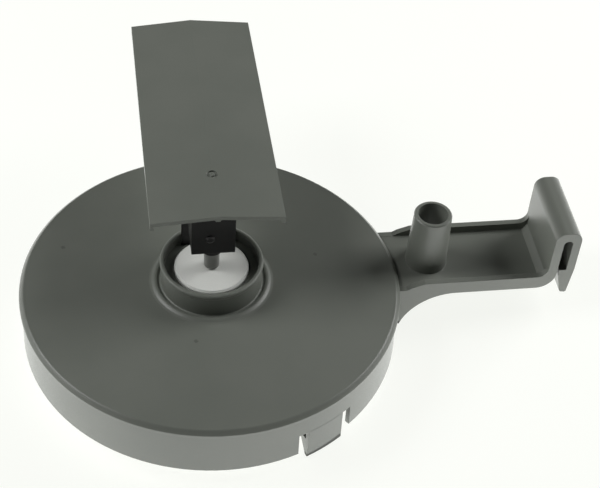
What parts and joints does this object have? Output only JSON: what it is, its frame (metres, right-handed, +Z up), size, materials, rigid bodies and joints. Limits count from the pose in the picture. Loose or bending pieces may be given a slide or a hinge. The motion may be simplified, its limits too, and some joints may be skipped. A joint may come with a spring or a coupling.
{
  "type": "float switch",
  "caption": "Round float dish with a clip arm and guide tube, a lever microswitch in a holder over its collar, and a long drip roof.",
  "frame": {"origin": "on the float dish's axis, level with the lower edge of its skirt, in the middle of the dish's open mouth", "axes": "+X along the clip arm towards the edge clip, +Y along the drip roof's ridge towards its free end, +Z up, the way the float rises"},
  "size_m": [0.2354, 0.2063, 0.0732],
  "materials": {
    "grey_moulding": "fine satin moulded surface",
    "white_foam": "bead foam",
    "white_cap": "semi-gloss",
    "grey_pin": "satin",
    "black_holder": "satin",
    "switch_body": "satin",
    "red_button": "gloss",
    "steel": "bright rolled strip",
    "copper_alloy": "spring strip",
    "silver_contact": "bright",
    "brass_terminal": "bright"
  },
  "bodies": {
    "housing": {"float_housing": "grey_moulding", "switch_holder": "black_holder", "switch_case": "switch_body", "switch_cover": "switch_body", "lever_axle": "steel", "terminal_common": "brass_terminal", "terminal_closed": "brass_terminal", "terminal_open": "brass_terminal", "fixed_contact_closed": "silver_contact", "fixed_contact_open": "silver_contact", "drip_roof": "grey_moulding"},
    "float": {"foam_float": "white_foam", "float_cap": "white_cap"},
    "pin": {"lift_pin": "grey_pin"},
    "lever": {"switch_lever": "steel"},
    "button": {"switch_button": "red_button"},
    "blade": {"contact_blade": "copper_alloy", "moving_contact": "silver_contact"}
  },
  "joints": [
    {"name": "float_lift", "type": "slide", "parent": "housing", "child": "float", "axis": [0, 0, 1], "range_m": [0, 0.0042]},
    {"name": "pin_lift", "type": "slide", "parent": "housing", "child": "pin", "axis": [0, 0, 1], "range_m": [0, 0.0042]},
    {"name": "lever_swing", "type": "hinge", "parent": "housing", "child": "lever", "pos_m": [0, 0.015, 0.0535], "axis": [-1, 0, 0], "range_deg": [0, 16.04]},
    {"name": "button_push", "type": "slide", "parent": "housing", "child": "button", "axis": [0, 0, 1], "range_m": [0, 0.00148]},
    {"name": "blade_swing", "type": "hinge", "parent": "housing", "child": "blade", "pos_m": [0, 0.0002, 0.0587], "axis": [1, 0, 0], "range_deg": [0, 8.95]}
  ],
  "couplings": [
    {"joint": "pin_lift", "follows": "float_lift", "ratio": 1},
    {"joint": "lever_swing", "follows": "float_lift", "rad_per_m": 66.667},
    {"joint": "button_push", "follows": "float_lift", "ratio": 0.35333},
    {"joint": "blade_swing", "follows": "float_lift", "rad_per_m": 37.193}
  ]
}
